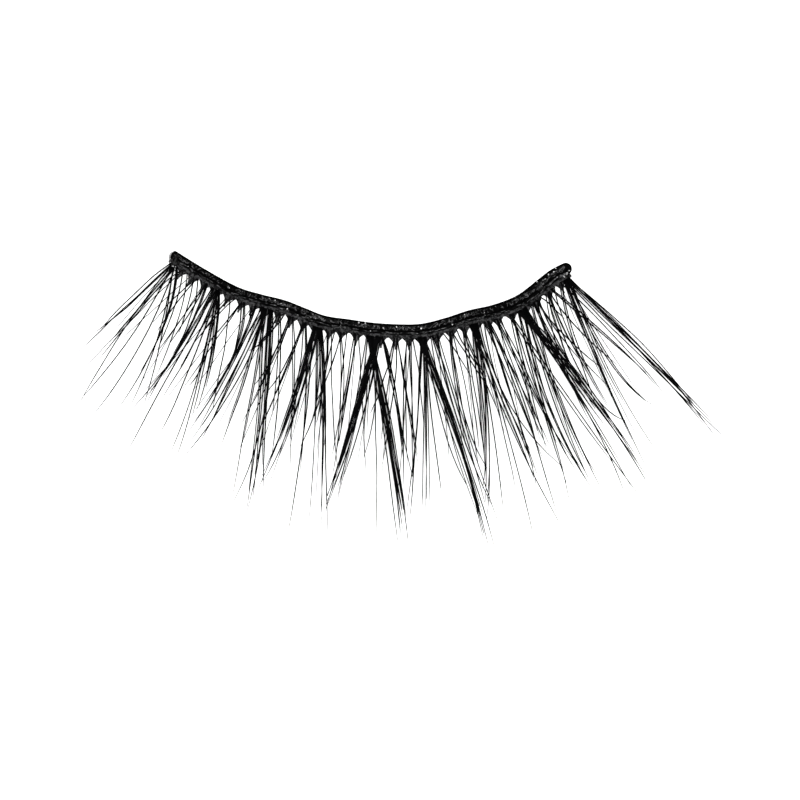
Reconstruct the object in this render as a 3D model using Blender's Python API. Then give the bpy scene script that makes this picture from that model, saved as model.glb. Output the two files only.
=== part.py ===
"""A false eyelash strip lying on its back: a band, a knotted fringe on its root thread, and nine spikes.

The frame is in metres with +Z up. The strip is seen from above as on the closed eye: the band is at the back
(+Y), the lashes run to the front (-Y), and their tips curl up from the surface that the strip lies on.
"""

import math
import random

import bpy
import bmesh
from mathutils import Vector

MM = 0.001
SEED = 7

# Band: a flat woven strip that sags between its two high ends
BAND_THICKNESS = 0.42
BAND_EDGE_ROUND = 0.07
BAND_STATIONS = 38
BAND_END_STEPS = 5
# One row for each section: along the strip, height of the upper edge, width, all in millimetres
BAND_SECTIONS = (
    {"x": -17.50, "edge_y": 11.36, "width": 0.64},
    {"x": -15.25, "edge_y": 9.97, "width": 0.62},
    {"x": -12.78, "edge_y": 8.62, "width": 0.64},
    {"x": -10.93, "edge_y": 8.03, "width": 0.66},
    {"x": -9.09, "edge_y": 7.57, "width": 0.70},
    {"x": -7.55, "edge_y": 6.97, "width": 0.72},
    {"x": -6.00, "edge_y": 6.38, "width": 0.72},
    {"x": -4.16, "edge_y": 6.10, "width": 0.72},
    {"x": -2.31, "edge_y": 5.84, "width": 0.72},
    {"x": -0.46, "edge_y": 5.72, "width": 0.74},
    {"x": 1.39, "edge_y": 5.76, "width": 0.76},
    {"x": 3.30, "edge_y": 6.22, "width": 0.78},
    {"x": 5.08, "edge_y": 6.80, "width": 0.80},
    {"x": 6.93, "edge_y": 7.22, "width": 0.80},
    {"x": 8.78, "edge_y": 7.95, "width": 0.84},
    {"x": 10.40, "edge_y": 9.17, "width": 0.90},
    {"x": 11.35, "edge_y": 9.90, "width": 0.90},
    {"x": 12.32, "edge_y": 10.40, "width": 0.88},
)

# Root thread: the cord that the hairs are knotted on, along the band's lower edge
THREAD_RADIUS = 0.15
THREAD_CLEARANCE = 0.03
THREAD_STATIONS = 44
THREAD_TAIL = 0.15
KNOT_COUNT = 33
KNOT_INSET = 0.3

# Curl: every lash lies flat near the root and then bends up from the surface
FLAT_REACH = 4.0
CURL_RATE = 0.038

# Locks have a flat five-sided or six-sided section, this much lower than wide
LOCK_FLATNESS = 0.62
LOCK_TIP_SHARE = 0.16
SLIMMING_POWER = 1.3

# Fringe: at each knot one lock leans left in the lower layer and one leans right in the layer above it
FRINGE_HALF_WIDTH = 0.115
FRINGE_STEPS = 4
FRINGE_SIDES = 5
FRINGE_LENGTH = 7.6
FRINGE_LENGTH_SPREAD = 1.1
FRINGE_CROSSING = 13.0
FRINGE_LEAN_PER_MM = 2.55
FRINGE_LEAN_SPREAD = 1.5
# The knot flares each fringe lock at its root, over this share of its length
KNOT_FLARE = 1.5
KNOT_SHARE = 0.06
LEFT_LAYER = 0.072
RIGHT_LAYER = 0.225

# Spikes: longer bundles that lie over the fringe and share one glued bead at the root
SPIKE_LAYER = 0.52
SPIKE_STEPS = 6
SPIKE_SIDES = 6
BEAD_RADIUS = 0.27
BEAD_SET_DOWN = 0.20
# One row for each arm, in millimetres: where it leaves the thread, the point that it passes half way,
# where its tip lies, and its width at the root
ARM_COLUMNS = ("root_x", "half_x", "half_y", "tip_x", "tip_y", "width")
SPIKE_ARMS = {
    "spike_1": (
        (-17.85, -21.20, 7.45, -24.70, 3.70, 0.36),
        (-17.70, -21.90, 4.90, -24.75, -0.20, 0.26),
        (-17.60, -20.15, 4.35, -23.80, -0.90, 0.30),
        (-17.50, -18.75, 4.80, -21.75, -0.40, 0.44),
        (-17.40, -18.60, 4.90, -20.60, -0.30, 0.28),
    ),
    "spike_2": (
        (-14.45, -17.05, 4.00, -20.10, -0.15, 0.56),
        (-14.35, -17.40, 3.00, -20.95, -3.90, 0.34),
        (-14.30, -16.00, 4.40, -18.30, 0.00, 0.38),
        (-14.20, -16.15, 2.00, -17.75, -4.50, 0.30),
        (-14.15, -15.55, 1.60, -17.25, -4.35, 0.28),
        (-14.05, -14.75, 3.90, -15.60, -0.60, 0.34),
    ),
    "spike_3": (
        (-10.60, -12.75, 2.55, -16.65, -3.95, 0.58),
        (-10.50, -12.30, 1.70, -15.10, -3.20, 0.30),
        (-10.40, -11.70, 0.30, -13.15, -7.20, 0.30),
        (-10.35, -10.50, 0.00, -13.05, -8.00, 0.26),
        (-10.30, -10.60, 0.40, -11.90, -8.25, 0.50),
    ),
    "spike_4": (
        (-6.80, -8.60, -0.60, -11.05, -6.60, 0.56),
        (-6.70, -7.65, -2.50, -8.85, -9.80, 0.30),
        (-6.60, -6.50, -1.60, -7.00, -9.30, 0.28),
        (-6.55, -6.25, -1.40, -6.20, -9.40, 0.48),
        (-6.50, -6.15, -2.50, -5.85, -10.20, 0.26),
    ),
    "spike_5": (
        (-2.55, -3.60, -1.60, -5.55, -7.95, 0.66),
        (-2.45, -3.25, -1.80, -4.95, -7.80, 0.36),
        (-2.30, -1.95, -1.80, -1.80, -10.00, 0.26),
        (-2.20, -1.40, -2.60, -0.60, -11.10, 0.30),
        (-2.10, -0.90, -2.80, 0.50, -11.30, 0.66),
    ),
    "spike_6": (
        (1.40, 1.10, -1.40, 0.50, -8.90, 0.44),
        (1.50, 1.60, -1.80, 1.55, -8.80, 0.30),
        (1.60, 1.90, -1.70, 1.90, -8.90, 0.26),
        (1.75, 3.75, -1.90, 6.50, -11.30, 0.64),
        (1.85, 4.35, -2.10, 7.10, -11.32, 0.34),
        (1.95, 4.35, -1.00, 5.85, -7.20, 0.26),
    ),
    "spike_7": (
        (5.30, 5.95, -0.40, 6.30, -6.30, 0.34),
        (5.45, 6.40, -0.90, 6.80, -8.20, 0.44),
        (5.55, 6.75, -1.40, 7.95, -8.20, 0.26),
        (5.65, 8.10, -1.80, 10.00, -10.10, 0.26),
        (5.75, 8.30, -2.00, 11.80, -9.85, 0.52),
    ),
    "spike_8": (
        (9.20, 12.75, -0.05, 18.20, -7.40, 0.52),
        (9.50, 11.75, 2.50, 14.90, -6.70, 0.58),
        (9.60, 13.20, 0.60, 16.90, -7.10, 0.30),
        (9.70, 14.00, -0.10, 17.50, -6.00, 0.26),
        (9.75, 13.70, 1.10, 18.95, -6.50, 0.40),
    ),
    "spike_9": (
        (12.20, 15.20, 2.30, 18.40, -5.00, 0.32),
        (12.30, 15.90, 1.90, 19.60, -4.40, 0.26),
        (12.35, 15.20, 5.30, 19.20, 1.10, 0.26),
        (12.55, 18.00, 3.85, 23.60, -2.50, 0.34),
        (12.60, 18.00, 4.15, 24.75, -3.00, 0.56),
        (12.65, 17.60, 5.15, 21.40, 0.80, 0.26),
    ),
}

# Finishes: colour, roughness
FINISHES = {
    "band_cloth": {"color": (0.012, 0.012, 0.013), "roughness": 0.78},
    "lash_fibre": {"color": (0.006, 0.006, 0.007), "roughness": 0.38},
}


def clear_scene():
    for obj in list(bpy.data.objects):
        bpy.data.objects.remove(obj, do_unlink=True)


def new_collection(name):
    collection = bpy.data.collections.new(name)
    bpy.context.scene.collection.children.link(collection)
    return collection


def finish(name):
    look = FINISHES[name]
    material = bpy.data.materials.new(name)
    material.use_nodes = True
    shader = material.node_tree.nodes["Principled BSDF"]
    shader.inputs["Base Color"].default_value = (*look["color"], 1.0)
    shader.inputs["Roughness"].default_value = look["roughness"]
    shader.inputs["Metallic"].default_value = 0.0
    material.diffuse_color = (*look["color"], 1.0)
    return material


def smooth_through(values, position):
    """The value at a fractional row number of a list, on a smooth curve through its rows."""
    last = len(values) - 1
    row = min(int(position), last - 1)
    share = position - row
    before = values[max(row - 1, 0)]
    start = values[row]
    end = values[row + 1]
    after = values[min(row + 2, last)]
    pull_in = (end - before) * 0.5
    pull_out = (after - start) * 0.5
    cube = share**3
    square = share**2
    return (
        start * (2 * cube - 3 * square + 1)
        + pull_in * (cube - 2 * square + share)
        + end * (3 * square - 2 * cube)
        + pull_out * (cube - square)
    )


def band_stations(count):
    """Points along the band's upper edge with the direction across the band and the width there."""
    edge = [Vector((row["x"], row["edge_y"])) for row in BAND_SECTIONS]
    widths = [row["width"] for row in BAND_SECTIONS]
    last = len(BAND_SECTIONS) - 1
    stations = []
    for number in range(count):
        position = last * number / (count - 1)
        point = smooth_through(edge, position)
        ahead = smooth_through(edge, min(position + 0.05, last))
        behind = smooth_through(edge, max(position - 0.05, 0))
        along = (ahead - behind).normalized()
        across = Vector((along.y, -along.x))
        width = smooth_through(widths, position)
        stations.append({"edge": point, "along": along, "across": across, "width": width})
    return stations


def band_outline():
    """The band's outline in plan, inside its rounded edge: upper edge, right end, lower edge, left end."""
    upper = []
    lower = []
    stations = band_stations(BAND_STATIONS)
    for station in stations:
        upper.append(station["edge"] + station["across"] * BAND_EDGE_ROUND)
        lower.append(station["edge"] + station["across"] * (station["width"] - BAND_EDGE_ROUND))
    ends = []
    for station, side in ((stations[-1], 1), (stations[0], -1)):
        radius = station["width"] / 2 - BAND_EDGE_ROUND
        centre = station["edge"] + station["across"] * station["width"] / 2
        arc = []
        for step in range(1, BAND_END_STEPS):
            turn = math.pi * step / BAND_END_STEPS
            outward = station["along"] * math.sin(turn) - station["across"] * math.cos(turn)
            arc.append(centre + outward * side * radius)
        ends.append(arc)
    return upper + ends[0] + lower[::-1] + ends[1]


def thread_line():
    """The root thread's centre line in plan, with a cut tail past the band's right end."""
    line = []
    for station in band_stations(THREAD_STATIONS):
        reach = station["width"] + THREAD_CLEARANCE + THREAD_RADIUS
        line.append(station["edge"] + station["across"] * reach)
    tail = line[-1] - line[-2]
    line.append(line[-1] + tail.normalized() * THREAD_TAIL)
    return line


def point_on(line, x):
    """The point of a line in plan where it reaches x, held at its ends."""
    for start, end in zip(line, line[1:]):
        if start.x <= x <= end.x:
            return start.lerp(end, (x - start.x) / (end.x - start.x))
    return line[0].copy() if x < line[0].x else line[-1].copy()


def spaced_on(line, first, last, count):
    """Points at equal steps along a line, from one distance along it to another."""
    points = []
    for number in range(count):
        left = first + (last - first) * number / (count - 1)
        for start, end in zip(line, line[1:]):
            run = (end - start).length
            if left <= run:
                points.append(start.lerp(end, left / run))
                break
            left -= run
    return points


def distance_to(line, point):
    nearest = math.inf
    for start, end in zip(line, line[1:]):
        run = end - start
        share = max(0.0, min(1.0, (point - start).dot(run) / run.length_squared))
        nearest = min(nearest, (point - start - run * share).length)
    return nearest


def lifted(line, point, layer):
    """The point at its height: flat near the thread, then curling up with its distance from it."""
    reach = max(0.0, distance_to(line, point) - FLAT_REACH)
    return Vector((point.x, point.y, layer + CURL_RATE * reach**2))


def lock_points(line, root, half_way, tip, layer, half_width, shares):
    """The centre points of one lock, on a bend that passes its half-way point, each with its half width."""
    middle = half_way * 2 - (root + tip) / 2
    points = []
    for share in shares:
        plan = root * (1 - share) ** 2 + middle * 2 * share * (1 - share) + tip * share**2
        slimming = 1 - (1 - LOCK_TIP_SHARE) * share**SLIMMING_POWER
        points.append((lifted(line, plan, layer), half_width * slimming))
    return points


def lock_section(sides, helpers):
    """The flat outline that is swept along every lock, one unit to each side."""
    outline = bpy.data.curves.new(f"lock_section_{sides}", "CURVE")
    outline.dimensions = "2D"
    spline = outline.splines.new("POLY")
    spline.points.add(sides - 1)
    spline.use_cyclic_u = True
    for number, point in enumerate(spline.points):
        turn = 2 * math.pi * number / sides
        point.co = (math.cos(turn), LOCK_FLATNESS * math.sin(turn), 0, 1)
    section = bpy.data.objects.new(outline.name, outline)
    section.hide_render = True
    helpers.objects.link(section)
    return section


def swept(name, locks, section, helpers):
    """One mesh object of closed tubes, one along each lock."""
    curve = bpy.data.curves.new(name, "CURVE")
    curve.dimensions = "3D"
    curve.twist_mode = "Z_UP"
    curve.bevel_mode = "OBJECT"
    curve.bevel_object = section
    curve.use_fill_caps = True
    for lock in locks:
        spline = curve.splines.new("POLY")
        spline.points.add(len(lock) - 1)
        for point, (place, half_width) in zip(spline.points, lock):
            point.co = (*(place * MM), 1)
            point.radius = half_width * MM
    draft = bpy.data.objects.new(name + "_curve", curve)
    helpers.objects.link(draft)
    return meshed(draft, name, helpers)


def meshed(draft, name, collection):
    """The curve object as a welded mesh object, in place of the curve."""
    graph = bpy.context.evaluated_depsgraph_get()
    mesh = bpy.data.meshes.new_from_object(draft.evaluated_get(graph))
    shape = bmesh.new()
    shape.from_mesh(mesh)
    bmesh.ops.remove_doubles(shape, verts=shape.verts, dist=0.001 * MM)
    bmesh.ops.recalc_face_normals(shape, faces=shape.faces)
    shape.to_mesh(mesh)
    shape.free()
    mesh.name = name
    mesh.materials.clear()
    obj = bpy.data.objects.new(name, mesh)
    obj.matrix_world = draft.matrix_world
    collection.objects.link(obj)
    bpy.data.objects.remove(draft, do_unlink=True)
    return obj


def fuse(body, extra):
    """Joins the extra tubes, which cross each other, to the body as one solid."""
    union = body.modifiers.new("fuse", "BOOLEAN")
    union.operation = "UNION"
    union.solver = "EXACT"
    union.use_self = True
    union.object = extra
    extra.hide_render = True
    extra.display_type = "WIRE"


def make_band(parts):
    outline = band_outline()
    curve = bpy.data.curves.new("band", "CURVE")
    curve.dimensions = "2D"
    curve.fill_mode = "BOTH"
    curve.extrude = (BAND_THICKNESS / 2 - BAND_EDGE_ROUND) * MM
    curve.bevel_depth = BAND_EDGE_ROUND * MM
    curve.bevel_resolution = 0
    spline = curve.splines.new("POLY")
    spline.points.add(len(outline) - 1)
    spline.use_cyclic_u = True
    for point, place in zip(spline.points, outline):
        point.co = (place.x * MM, place.y * MM, 0, 1)
    band = bpy.data.objects.new("band", curve)
    band.location.z = BAND_THICKNESS / 2 * MM
    band.data.materials.append(finish("band_cloth"))
    parts.objects.link(band)


def make_thread(line, helpers):
    """The root thread as a round cord."""
    curve = bpy.data.curves.new("thread", "CURVE")
    curve.dimensions = "3D"
    curve.twist_mode = "Z_UP"
    curve.bevel_depth = THREAD_RADIUS * MM
    curve.bevel_resolution = 2
    curve.use_fill_caps = True
    spline = curve.splines.new("POLY")
    spline.points.add(len(line) - 1)
    for point, place in zip(spline.points, line):
        point.co = (place.x * MM, place.y * MM, THREAD_RADIUS * MM, 1)
    draft = bpy.data.objects.new("thread_curve", curve)
    helpers.objects.link(draft)
    return meshed(draft, "lash_fringe", helpers)


def fringe_locks(line):
    """Two crossing locks at each knot, leaning out with the fan of the strip."""
    chance = random.Random(SEED)
    locks = []
    shares = [0, KNOT_SHARE] + [step / FRINGE_STEPS for step in range(1, FRINGE_STEPS + 1)]
    length_along = sum((end - start).length for start, end in zip(line, line[1:]))
    for root in spaced_on(line, KNOT_INSET, length_along - THREAD_TAIL, KNOT_COUNT):
        for side, layer in ((-1, LEFT_LAYER), (1, RIGHT_LAYER)):
            lean = FRINGE_LEAN_PER_MM * root.x + side * FRINGE_CROSSING
            lean += chance.uniform(-FRINGE_LEAN_SPREAD, FRINGE_LEAN_SPREAD)
            length = FRINGE_LENGTH + chance.uniform(-FRINGE_LENGTH_SPREAD, FRINGE_LENGTH_SPREAD)
            heading = Vector((math.sin(math.radians(lean)), -math.cos(math.radians(lean))))
            tip = root + heading * length
            points = lock_points(line, root, (root + tip) / 2, tip, layer, FRINGE_HALF_WIDTH, shares)
            knot_place, knot_half_width = points[0]
            points[0] = (knot_place, knot_half_width * KNOT_FLARE)
            locks.append(points)
    return locks


def make_fringe(line, parts, helpers):
    fringe = make_thread(line, helpers)
    helpers.objects.unlink(fringe)
    parts.objects.link(fringe)
    section = lock_section(FRINGE_SIDES, helpers)
    fuse(fringe, swept("fringe_locks", fringe_locks(line), section, helpers))
    fringe.data.materials.append(finish("lash_fibre"))


def make_bead(name, place, parts):
    """The glue bead that holds a spike's arms together at the root."""
    bpy.ops.mesh.primitive_uv_sphere_add(segments=10, ring_count=6, radius=BEAD_RADIUS * MM)
    bead = bpy.context.object
    bead.name = name
    bead.location = place * MM
    bead.scale.z = LOCK_FLATNESS
    for owner in list(bead.users_collection):
        owner.objects.unlink(bead)
    parts.objects.link(bead)
    return bead


def make_spike(name, rows, line, material, parts, helpers):
    arms = [dict(zip(ARM_COLUMNS, row)) for row in rows]
    out = Vector((0.0, -BEAD_SET_DOWN))
    shares = [step / SPIKE_STEPS for step in range(SPIKE_STEPS + 1)]
    locks = []
    for arm in arms:
        root = point_on(line, arm["root_x"]) + out
        half_way = Vector((arm["half_x"], arm["half_y"]))
        tip = Vector((arm["tip_x"], arm["tip_y"]))
        locks.append(lock_points(line, root, half_way, tip, SPIKE_LAYER, arm["width"] / 2, shares))
    middle = sum(arm["root_x"] for arm in arms) / len(arms)
    centre = point_on(line, middle) + out
    spike = make_bead(name, Vector((centre.x, centre.y, SPIKE_LAYER)), parts)
    section = lock_section(SPIKE_SIDES, helpers)
    fuse(spike, swept(name + "_arms", locks, section, helpers))
    spike.data.materials.append(material)


def main():
    clear_scene()
    parts = new_collection("false_eyelash_strip")
    helpers = new_collection("joined_shapes")
    line = thread_line()
    make_band(parts)
    make_fringe(line, parts, helpers)
    material = finish("lash_fibre")
    for name, rows in SPIKE_ARMS.items():
        make_spike(name, rows, line, material, parts, helpers)


main()
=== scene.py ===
"""The looks of a false eyelash strip: every hair, the root thread and the woven band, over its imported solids.

Lengths in the tables are in millimetres in the frame of the solids: +X along the strip, tips to -Y, +Z up.
"""

import math
import random

import bpy
import numpy as np
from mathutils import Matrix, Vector, noise


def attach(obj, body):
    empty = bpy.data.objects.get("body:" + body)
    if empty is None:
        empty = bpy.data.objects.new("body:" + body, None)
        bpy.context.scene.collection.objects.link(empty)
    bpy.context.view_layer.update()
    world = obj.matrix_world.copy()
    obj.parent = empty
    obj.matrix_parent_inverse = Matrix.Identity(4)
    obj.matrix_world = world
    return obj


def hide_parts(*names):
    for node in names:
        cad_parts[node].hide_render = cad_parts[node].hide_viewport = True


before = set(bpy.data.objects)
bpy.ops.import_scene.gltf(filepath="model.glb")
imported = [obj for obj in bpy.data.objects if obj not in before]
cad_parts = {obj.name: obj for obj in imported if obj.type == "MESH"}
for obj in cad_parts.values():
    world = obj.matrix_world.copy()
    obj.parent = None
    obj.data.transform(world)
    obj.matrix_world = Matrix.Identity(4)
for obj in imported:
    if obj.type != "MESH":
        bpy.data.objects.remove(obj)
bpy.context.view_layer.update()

MM = 0.001

# Random draws: each piece has its own, so that a change in one leaves the others alone
SEED = 21
SEED_STEPS = {"fringe_hairs": 40, "glue_webs": 80, "band_fibres_painted_sheen": 120, "band_painted_glints": 160}

# Band
BAND_THICKNESS = 0.42
BAND_OVERLAP = 0.06
BAND_STEPS = 620
BAND_ACROSS = 23
BAND_END_STEPS = 9
# The share of a step that is left between an end's last step and its tip
BAND_END_GAP = 0.35
# How far each end reaches past its last section, as a share of half the width: left, right
BAND_END_REACH = (0.45, 1.0)
# How far the top drops at the band's two edges, and the power that keeps the drop close to them
EDGE_DROP = 0.07
EDGE_POWER = 7
# The underside, from the lower edge to the upper one: share of the width, height
UNDERSIDE = ((1.0, 0.05), (0.95, 0.0), (0.5, 0.0), (0.05, 0.0), (0.0, 0.05))
UNDERSIDE_TONE = 0.6
# Shares of the band's width, from its upper edge: the smooth rim, the end of the weave and the groove
RIM_SHARE = 0.16
WEAVE_END = 0.95
GROOVE_AT = 0.68
GROOVE_DEPTH = 0.06
GROOVE_HALF_WIDTH = 0.05
# Painted shade in the groove: how much darker it is, and how far that reaches
GROOVE_PAINTED_SHADE = 0.95
GROOVE_PAINTED_SHADE_HALF_WIDTH = 0.07
# Where the dark rim begins to turn into the weave's grey and how far that takes, as shares of the rim
RIM_SHADE_FROM = 0.6
RIM_SHADE_OVER = 0.8
# The weave's unevenness: its height, how much of it the rim has, and noise by waves for each mm, slice, share
WEAVE_RELIEF = 0.016
RIM_RELIEF_SHARE = 0.25
WEAVE_NOISE = ((6.0, 1.3, 1.0), (15.0, 7.1, 0.6))
# The band's sections from left to right: place along the strip, height of the upper edge, width
BAND_SECTIONS = (
    {"x": -17.50, "edge_y": 11.36, "width": 0.64},
    {"x": -15.25, "edge_y": 9.97, "width": 0.62},
    {"x": -12.78, "edge_y": 8.62, "width": 0.64},
    {"x": -10.93, "edge_y": 8.03, "width": 0.66},
    {"x": -9.09, "edge_y": 7.57, "width": 0.70},
    {"x": -7.55, "edge_y": 6.97, "width": 0.72},
    {"x": -6.00, "edge_y": 6.38, "width": 0.72},
    {"x": -4.16, "edge_y": 6.10, "width": 0.72},
    {"x": -2.31, "edge_y": 5.84, "width": 0.72},
    {"x": -0.46, "edge_y": 5.72, "width": 0.74},
    {"x": 1.39, "edge_y": 5.76, "width": 0.76},
    {"x": 3.30, "edge_y": 6.22, "width": 0.78},
    {"x": 5.08, "edge_y": 6.80, "width": 0.80},
    {"x": 6.93, "edge_y": 7.22, "width": 0.80},
    {"x": 8.78, "edge_y": 7.95, "width": 0.84},
    {"x": 10.40, "edge_y": 9.17, "width": 0.90},
    {"x": 11.35, "edge_y": 9.90, "width": 0.90},
    {"x": 12.32, "edge_y": 10.40, "width": 0.88},
)
# A section's direction is taken between the places this far before and after it
DIRECTION_REACH = 0.05
# How many places along the band a point is compared with
PLACES_ALONG = 600

# Fibres on the band, their grey painted sheen: each one grows step by step until it meets the rim, the groove,
# an edge or an end
FIBRE_COUNT = 620
FIBRE_STEPS = 9
FIBRE_LEAST_STEPS = 4
FIBRE_STEP = (0.035, 0.075)
FIBRE_RADIUS = (0.018, 0.027)
FIBRE_SIDES = 5
FIBRE_SEAT = 0.004
FIBRE_BEND = 7
# Fibres below the groove run along the band: how far their heading and their bend may be off
FIBRE_SKEW = 0.15
FIBRE_SLIGHT_BEND = 0.5
# Shares of the width between which fibres start: from the rim, and to this place
FIBRE_FROM_RIM = 0.05
FIBRE_START_END = 0.98
# Shares of the width: clearance of the groove at a fibre's start and as it grows, and where its growth ends
FIBRE_START_CLEAR = 0.08
FIBRE_CLEAR = 0.07
FIBRE_END = 0.97
# A fibre's thickness is an arch that starts and ends at this angle
FIBRE_ARCH_FROM = 0.3
FIBRE_ARCH_POWER = 0.5

# Painted glints on the band, drawn as white flecks: x, y, half size
FLECKS = (
    (-3.40, 5.85, 0.070), (-2.90, 5.80, 0.045), (-1.50, 5.40, 0.050), (-0.50, 5.50, 0.050),
    (1.40, 5.40, 0.065), (-8.90, 6.90, 0.055), (-9.40, 7.30, 0.045), (-2.50, 5.20, 0.040),
    (3.80, 5.70, 0.055), (10.30, 9.00, 0.060), (11.20, 9.55, 0.055), (11.60, 9.75, 0.050),
    (12.40, 9.40, 0.055), (-17.72, 10.18, 0.050), (-17.52, 10.14, 0.045), (-17.55, 9.96, 0.040),
    (11.75, 10.03, 0.045), (10.95, 9.20, 0.045), (12.78, 9.84, 0.050), (12.64, 9.66, 0.045),
)
# Smaller painted glints strewn over the band: how many, their half size and their share across it
SMALL_FLECKS = 18
SMALL_FLECK_SIZE = (0.018, 0.034)
SMALL_FLECK_SHARE = (0.18, 0.95)
# A fleck's shape in shares of its half size: its length, places along that, thickness there, seat, flatness
FLECK_LENGTH = (1.0, 1.9)
FLECK_PLACES = np.array((-1, -0.5, 0, 0.5, 1))
FLECK_PROFILE = np.array((0.3, 0.8, 1.0, 0.85, 0.25))
FLECK_SEAT = 0.35
FLECK_FLATNESS = 0.7
FLECK_SIDES = 7
# The shares of the band's width between which a fleck takes its height
FLECK_LIMITS = (0.05, 0.95)

# Root thread and curl, as in the solids
THREAD_RADIUS = 0.15
THREAD_CLEARANCE = 0.03
THREAD_TAIL = 0.15
FLAT_REACH = 4.0
CURL_RATE = 0.038
# The points of the thread's line, and the rings and sides of its tube
THREAD_STATIONS = 120
THREAD_STEPS = 420
THREAD_SIDES = 16
# The thread's two plies: how deep and how sharp the groove between them is, and the length of one turn
PLY_DEPTH = 0.10
PLY_SHARPNESS = 6
PLY_PITCH = 1.5

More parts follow.
